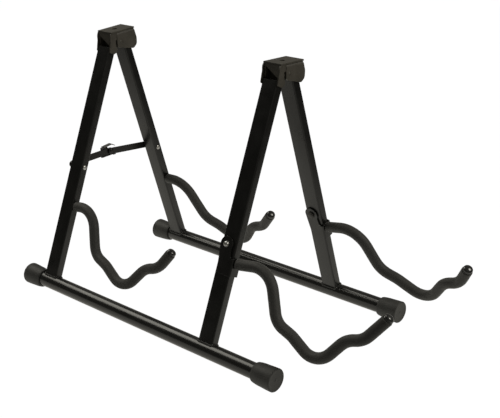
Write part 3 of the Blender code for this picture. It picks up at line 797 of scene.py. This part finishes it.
def foam_ripple(seed):
    """Foam isn't a perfect tube: slow swelling, and small dimples from handling."""

    def size(distance, turn):
        around = Vector((math.cos(turn), math.sin(turn), 0))
        slow = noise.noise(Vector((distance * 28, seed, 0)) + 0.6 * around)
        small = noise.noise(Vector((distance * 160, seed + 7, 0)) + 1.8 * around)
        return 0.00022 * slow + 0.00008 * small

    return size


def cradle_arm(name, side):
    front = name == "front"
    start_out = leg_width / 2 + ROD_START_GAP + (SHEET - 0.0001 + GAP if front else 0)
    path = arm_path(f"{name}_{SIDES[side]}", start_out)
    matrix = leg_matrix(side, leg_x[name])
    prefix = f"{name}_{SIDES[side]}_arm"
    length = path_length(path)

    rod_rings = [(length * k / 90, ROD_RADIUS, None) for k in range(91)]
    stand_for(sweep(f"{prefix}_steel_rod", path, rod_rings, matrix, 24), f"{prefix}_rod")

    begin, end = FOAM_START_GAP, length - ROD_END_BARE
    fillet = 0.0011
    ripple = foam_ripple(5.3 * FRAMES.index(name) + 2.1 * side)
    turns = (0, 0.5, 1.0, math.pi / 2)
    rounding = [(fillet * (1 - math.cos(turn)), fillet * (1 - math.sin(turn))) for turn in turns]
    stations = 170
    inner_span = end - begin - 2 * fillet
    rings = [(begin, FOAM_BORE, None)]
    rings += [(begin + along, FOAM_RADIUS - inwards, ripple) for along, inwards in rounding]
    rings += [(begin + fillet + inner_span * k / stations, FOAM_RADIUS, ripple) for k in range(1, stations)]
    rings += [(end - along, FOAM_RADIUS - inwards, ripple) for along, inwards in reversed(rounding)]
    rings += [(end - (end - begin) * k / 60, FOAM_BORE, None) for k in range(60)]
    foam = sweep(f"{prefix}_foam_sleeve", path, rings, matrix, 40, closed_ends=False)
    stand_for(foam, f"{prefix}_foam")
    end_plug(prefix, path, matrix)


def end_plug(prefix, path, matrix):
    """A domed plug over the bare end of the rod, with a bead at its mouth and a shallow groove."""
    tip, before = Vector(path[-1]), Vector(path[-2])
    out = (tip - before).normalized()
    seat = tip - out * (ROD_END_BARE - GAP)
    tilt = math.atan2(out.x, out.y)
    plug_matrix = matrix @ Matrix.Translation((seat.x, 0, seat.y)) @ Matrix.Rotation(tilt, 4, "Y")
    bore = ROD_RADIUS + 0.1 * GAP
    dome_start, dome_height = 0.0030, 0.0045
    profile = [(0, ROD_END_BARE), (bore, ROD_END_BARE), (bore, 0)]
    profile += [(0.0076, 0), (0.0081, 0.0003), (0.0083, 0.0009), (0.0081, 0.0016)]
    profile += [(0.0077, 0.0020), (0.0076, 0.0024), *dome(0.0078, dome_start, dome_height, 12)]
    profile.append((0, dome_start + dome_height))
    stand_for(lathe(f"{prefix}_gloss_plug", profile, plug_matrix, 48, 60), f"{prefix}_end_plug")


# ---- Fold-up brackets, bolts and nuts -----------------------------------------------------------------


def arm_bracket(side):
    """A channel round the front leg: two ears on the pivot bolt, and a web that carries the arm."""
    prefix = f"front_{SIDES[side]}_arm"
    node = f"{prefix}_bracket"
    matrix = leg_matrix(side, leg_x["front"])
    near = LEG_DEPTH / 2 + GAP
    far = near + BRACKET_SHEET
    web_in = leg_width / 2 + GAP
    web_out = web_in + BRACKET_SHEET
    bottom, top = 0.124, 0.152
    back = -0.020
    bend = 0.0030
    inside = bend - BRACKET_SHEET
    channel = rounded(((back, far), (web_out, far), (web_out, -far), (back, -far)), (0, bend, bend, 0), 8)
    channel += rounded(
        ((back, -near), (web_in, -near), (web_in, near), (back, near)), (0, inside, inside, 0), 4
    )
    made = prism(f"{prefix}_channel", channel, bottom - 0.002, arm_pivot_height + 0.02, "xy", matrix)
    lobe = arc((PIVOT_U, arm_pivot_height), LOBE_RADIUS, -30, 190, 32)
    neck = rounded(((web_out, top), (0.0105, top), lobe[0]), (0, 0.004, 0), 8, closed=False)
    outline = [(-0.0100, bottom + 0.006), (-0.0050, bottom), (web_out, bottom), *neck[:-1], *lobe]
    combine(made, prism("ears", outline, -0.03, 0.03, "xz", matrix), "INTERSECT")
    ends = [matrix @ Vector((PIVOT_U, y, arm_pivot_height)) for y in (-0.03, 0.03)]
    drill(made, BOLT_RADIUS + 0.1 * GAP, *ends)
    stand_for(soften(made, 0.0003), node)
    ring = [(web_out + 0.0002, y, ARM_START_HEIGHT + z) for y, z in circle(0.0058, 24)]
    weld_bead(f"{prefix}_weld", ring, matrix, node, 0.0009, 11 + side)


def bolt_matrix(side):
    """A frame on the pivot bolt's axis, with z from the middle of the leg towards the bolt's head."""
    outward = Matrix.Rotation(-side * math.pi / 2, 4, "X")
    place = Matrix.Translation((PIVOT_U, 0, arm_pivot_height))
    return leg_matrix(side, leg_x["front"]) @ place @ outward


def pivot_bolt(side):
    prefix = f"front_{SIDES[side]}_arm"
    end = -(BOLT_SEAT + 0.0026)
    rim, top = BOLT_SEAT + 0.0010, BOLT_SEAT + BOLT_HEAD_HEIGHT
    profile = [(0, end - 0.0001), (0.0030, end - 0.0001), (BOLT_RADIUS, end + 0.0007)]
    profile += [(BOLT_RADIUS, BOLT_SEAT), (BOLT_HEAD_RADIUS - 0.0002, BOLT_SEAT)]
    profile += [(BOLT_HEAD_RADIUS, BOLT_SEAT + 0.0003), (BOLT_HEAD_RADIUS - 0.0002, rim)]
    profile += dome(0.0045, rim, BOLT_HEAD_HEIGHT - 0.0010, 10)
    profile += [(0.0010, top - 0.0002), (0, top - 0.0004)]
    stand_for(lathe(f"{prefix}_domed_bolt", profile, bolt_matrix(side), 56, 40), f"{prefix}_pivot_bolt")


def lock_nut(side):
    """A round-topped locking nut: a washer face, then a hexagon rounded into a dome."""
    prefix = f"front_{SIDES[side]}_arm"
    count = 48
    bm = bmesh.new()
    layers = (
        # size, share of the hexagon, height
        (1.0, 0.0, 0.0),
        (1.0, 0.0, 0.0006),
        (0.93, 1.0, 0.0006),
        (0.93, 1.0, 0.0022),
        (0.80, 0.3, 0.0029),
        (0.55, 0.0, 0.0034),
        (0.25, 0.0, 0.0036),
    )
    rings = []
    for size, hex_share, height in layers:
        ring = []
        for k in range(count):
            turn = math.tau * k / count
            flat = math.cos(math.pi / 6) / math.cos((turn % (math.pi / 3)) - math.pi / 6)
            radius = NUT_RADIUS * size * (1 - hex_share + hex_share * min(1.0, flat * 1.02))
            place = (radius * math.cos(turn), radius * math.sin(turn), -BOLT_SEAT - height)
            ring.append(bm.verts.new(place))
        rings.append(ring)
    bore = [
        [bm.verts.new((x, y, height)) for x, y in circle(BOLT_RADIUS * 1.01, count)]
        for height in (-BOLT_SEAT - 0.0028, -BOLT_SEAT)
    ]
    for lower, upper in (*zip(rings, rings[1:]), bore, (bore[1], rings[0])):
        bridge(bm, lower, upper)
    bm.faces.new(rings[-1])
    bm.faces.new(bore[0])
    nut = stand_for(to_object(f"{prefix}_lock_nut", bm, bolt_matrix(side), 25), f"{prefix}_pivot_nut")
    nut.data.materials[0] = NUT_OXIDE


# ---- Folding brace ------------------------------------------------------------------------------------


def brace_ends(side):
    """(leg pivot, centre pivot) of one bar, in world y-z."""
    start = leg_matrix(side, leg_x["rear"]) @ Vector((0, 0, brace_pivot_up))
    centre = middle("brace_centre_rivet_head")
    return Vector((start.y, start.z)), Vector((0, centre.z))


def rivet_matrix(node):
    """A frame on a rivet's axis, with z along world +X from the origin's plane."""
    centre = middle(node)
    return Matrix.Translation((0, centre.y, centre.z)) @ Matrix.Rotation(math.pi / 2, 4, "Y")


def brace_bar(side):
    node = f"{SIDES[side]}_brace_bar"
    low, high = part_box(node)
    begin, centre = brace_ends(side)
    along = (centre - begin).normalized()
    normal = Vector((-along.y, along.x))
    outline = []
    for point, first in ((centre, -90), (begin, 90)):
        for x, y in arc((0, 0), BAR_HALF_HEIGHT, first, first + 180, 24):
            outline.append(point + x * along + y * normal)
    made = prism(f"{SIDES[side]}_flat_bar", outline, low.x, high.x, "yz", Matrix())
    for point in (begin, centre):
        drill(made, RIVET_RADIUS + 0.1 * GAP, (low.x - 0.01, *point), (high.x + 0.01, *point), 32)
    stand_for(soften(made, 0.0004), node)


def leg_rivet(side):
    node = f"{SIDES[side]}_brace_leg_rivet"
    low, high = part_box(node)
    head_foot, tail_foot = high.x - LEG_HEAD_HEIGHT, low.x + LEG_HEAD_HEIGHT
    head = dome(RIVET_HEAD_RADIUS, head_foot, LEG_HEAD_HEIGHT, 10)
    tail = dome(RIVET_HEAD_RADIUS, tail_foot, -LEG_HEAD_HEIGHT, 8)
    profile = [(0, high.x), *reversed(head), (RIVET_RADIUS, head_foot), (RIVET_RADIUS, tail_foot), *tail]
    profile.append((0, low.x))
    made = stand_for(lathe(f"{SIDES[side]}_leg_rivet", profile, rivet_matrix(node), 40, 40), node)
    # The far end was set before the bar was painted.
    made.data.materials.append(FINISHES["brace"])
    for face in made.data.polygons:
        face.material_index = int(face.center.x < middle(node).x)


def centre_rivet(node, name, head_radius, head_at_front):
    """Half of the brace's centre rivet: a head at the front or the back, and a flat end in the bars."""
    low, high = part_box(node)
    head_end, flat_end = (high.x, low.x) if head_at_front else (low.x, high.x)
    head_height = CENTRE_HEAD_HEIGHT if head_at_front else -CENTRE_HEAD_HEIGHT
    head_foot = head_end - head_height
    profile = [(0, head_end), *reversed(dome(head_radius, head_foot, head_height, 10))]
    profile += [(RIVET_RADIUS, head_foot), (RIVET_RADIUS, flat_end), (0, flat_end)]
    stand_for(lathe(name, profile, rivet_matrix(node), 40, 40), node)


def brace_spacer():
    node = "brace_spacer"
    low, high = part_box(node)
    outer = (high.z - low.z) / 2
    inner = RIVET_RADIUS + GAP
    edge = 0.0003
    profile = [(inner, low.x), (outer - edge, low.x), (outer, low.x + edge), (outer, high.x - edge)]
    profile += [(outer - edge, high.x), (inner, high.x), (inner, low.x)]
    made = stand_for(lathe("brace_spacer_ring", profile, rivet_matrix(node), 40), node)
    made.data.materials[0] = FINISHES["brace"]


def lock_clip():
    """Bent sheet on the left bar: a lip under both bars and a thumb tab above them."""
    node = "brace_lock_clip"
    begin, centre = brace_ends(-1)
    slope = math.atan2(centre.y - begin.y, centre.x - begin.x)
    matrix = Matrix.Translation((0, *centre)) @ Matrix.Rotation(slope, 4, "X")
    left_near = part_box("left_brace_bar")[1].x
    right_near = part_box("right_brace_bar")[1].x
    wall_in = left_near - BAR_THICK - GAP
    wall_out = wall_in - THIN_SHEET
    floor = -(BAR_HALF_HEIGHT + 0.0027)
    ceiling = BAR_HALF_HEIGHT + 0.0042
    lip_top = floor + THIN_SHEET
    wall = ((-0.0210, floor), (-0.0062, floor), (-0.0062, ceiling), (-0.0210, ceiling))
    lip_outer = ((-0.0210, floor), (0.0105, floor), (0.0105, lip_top), (-0.0210, lip_top))
    lip_inner = ((0.0050, floor), (0.0105, floor), (0.0105, lip_top), (0.0050, lip_top))
    under = rounded(((-0.0143, 0.0088), (0.0056, 0.0108), (0.0126, 0.0066)), (0, 0.005, 0), closed=False)
    over = rounded(((0.0132, 0.0076), (0.0058, 0.0120), (-0.0143, 0.0100)), (0, 0.0062, 0), closed=False)
    made = prism("brace_clip", wall, wall_out, wall_in, "yz", matrix)
    for outline, low, high in (
        (lip_outer, wall_out, left_near),
        (lip_inner, wall_out + 0.001, right_near),
        ([*under, *over], wall_out - 0.005, left_near - GAP),
    ):
        combine(made, prism("fold", outline, low, high, "yz", matrix), "UNION")
    stand_for(soften(made, 0.00022, 2), node)


# ---- Stage --------------------------------------------------------------------------------------------

CAMERA_AZIMUTH, CAMERA_ELEVATION = math.radians(44.27), math.radians(19.45)
CAMERA_DISTANCE = 1.75
CAMERA_AIM = Vector((-0.07134, -0.0687, -0.03044))  # from the middle of the CAD box
LENS, SENSOR = 75.26, 36.0
SHIFT = (0.130, -0.006)
WARM = (1.0, 0.968, 0.865)
# The floor's glow as the rack's paint sees it: strong in an oval pool round the rack, and weak far from it
POOL, POOL_EDGE = 0.70, 0.025
POOL_FROM, POOL_TO = 0.15, 1.10
POOL_PLACE = {"Location": (0.11, -0.12, 0), "Scale": (0.75, 1, 1)}
# The room's glow, and a darker patch of it behind the rack's left side
ROOM, DARK_PATCH = 0.18, 0.065
DARK_WAY = Vector((-0.66, -0.73, 0.17)).normalized()


def camera():
    data = bpy.data.cameras.new("camera")
    data.lens = LENS
    data.sensor_width = SENSOR
    data.shift_x, data.shift_y = SHIFT
    data.clip_start, data.clip_end = 0.05, 60
    made = bpy.data.objects.new("camera", data)
    bpy.context.scene.collection.objects.link(made)
    level = math.cos(CAMERA_ELEVATION)
    back = Vector(
        (math.sin(CAMERA_AZIMUTH) * level, -math.cos(CAMERA_AZIMUTH) * level, math.sin(CAMERA_ELEVATION))
    )
    made.location = (cad_low + cad_high) / 2 + CAMERA_AIM + back * CAMERA_DISTANCE
    made.rotation_euler = (-back).to_track_quat("-Z", "Y").to_euler()
    bpy.context.scene.camera = made


def floor():
    """Plain paper, white to the camera. To the rack's paint it is a lit table in a dim room."""
    bm = bmesh.new()
    bmesh.ops.create_grid(bm, x_segments=1, y_segments=1, size=25)
    made = to_object("floor", bm, Matrix.Translation((0, 0, cad_low.z - 0.0002)))
    paper = Surface("floor_paper", Base_Color=(0.04, 0.04, 0.04, 1), Roughness=1.0, Specular_IOR_Level=0.0)
    oval = paper.node("ShaderNodeMapping", {"Vector": paper.place, **POOL_PLACE}).outputs["Vector"]
    reach = paper.node("ShaderNodeVectorMath", {0: oval}, operation="LENGTH").outputs["Value"]
    fade = {"Value": reach, "From Min": POOL_FROM, "From Max": POOL_TO, "To Min": POOL, "To Max": POOL_EDGE}
    pool = paper.node("ShaderNodeMapRange", fade, interpolation_type="SMOOTHSTEP").outputs["Result"]
    seen = paper.node("ShaderNodeLightPath").outputs["Is Camera Ray"]
    paper.set("Emission Color", paper.mix(seen, WARM, (1.0, 1.0, 1.0)))
    paper.set("Emission Strength", paper.node("ShaderNodeMix", {0: seen, 2: pool, 3: 1.0}).outputs[0])
    made.data.materials.append(paper.material)


def area_light(name, towards, distance, size, power):
    """A square softbox in a direction from the middle of the rack, facing it."""
    data = bpy.data.lights.new(name, "AREA")
    data.shape = "SQUARE"
    data.size = size
    data.energy = power
    data.color = WARM
    made = bpy.data.objects.new(name, data)
    bpy.context.scene.collection.objects.link(made)
    direction = Vector(towards).normalized()
    made.location = (cad_low + cad_high) / 2 + direction * distance
    made.rotation_euler = (-direction).to_track_quat("-Z", "Y").to_euler()
    made.visible_camera = False


def studio():
    """A dim room with a darker patch, and white wherever the camera looks past the floor."""
    world = bpy.data.worlds.new("studio")
    bpy.context.scene.world = world
    world.use_nodes = True
    tree = world.node_tree
    tree.nodes.clear()
    place = tree.nodes.new("ShaderNodeTexCoord")
    dot = tree.nodes.new("ShaderNodeVectorMath")
    dot.operation = "DOT_PRODUCT"
    dot.inputs[1].default_value = DARK_WAY
    tree.links.new(place.outputs["Generated"], dot.inputs[0])
    shade = tree.nodes.new("ShaderNodeMapRange")
    fade = {"From Min": 0.35, "From Max": 0.95, "To Min": ROOM, "To Max": DARK_PATCH}
    for socket, value in fade.items():
        shade.inputs[socket].default_value = value
    tree.links.new(dot.outputs["Value"], shade.inputs["Value"])
    room = tree.nodes.new("ShaderNodeBackground")
    tree.links.new(shade.outputs["Result"], room.inputs["Strength"])
    room.inputs["Color"].default_value = (*WARM, 1)
    seen = tree.nodes.new("ShaderNodeBackground")
    seen.inputs["Strength"].default_value = 1.0
    rays = tree.nodes.new("ShaderNodeLightPath")
    choose = tree.nodes.new("ShaderNodeMixShader")
    tree.links.new(rays.outputs["Is Camera Ray"], choose.inputs["Fac"])
    tree.links.new(room.outputs["Background"], choose.inputs[1])
    tree.links.new(seen.outputs["Background"], choose.inputs[2])
    output = tree.nodes.new("ShaderNodeOutputWorld")
    tree.links.new(choose.outputs["Shader"], output.inputs["Surface"])
    area_light("overhead_softbox", (-0.66, -0.14, 0.74), 2.2, 1.3, 18)
    area_light("right_softbox", (0.85, 0.25, 0.75), 2.4, 1.0, 26)
    bpy.context.scene.view_settings.view_transform = "Standard"


camera()
studio()
floor()
for side in SIDES:
    base_tube(side)
    for name in FRAMES:
        foot_cap(side, name)
        leg(name, side)
        cradle_arm(name, side)
    arm_bracket(side)
    pivot_bolt(side)
    lock_nut(side)
    brace_bar(side)
    leg_rivet(side)
for name in FRAMES:
    hinge_bracket(name)
    hinge_knuckle(name)
    hinge_pin(name)
centre_rivet("brace_centre_rivet_head", "brace_centre_front_head", RIVET_HEAD_RADIUS, True)
centre_rivet("brace_centre_rivet_tail", "brace_centre_back_head", BACK_HEAD_RADIUS, False)
brace_spacer()
lock_clip()
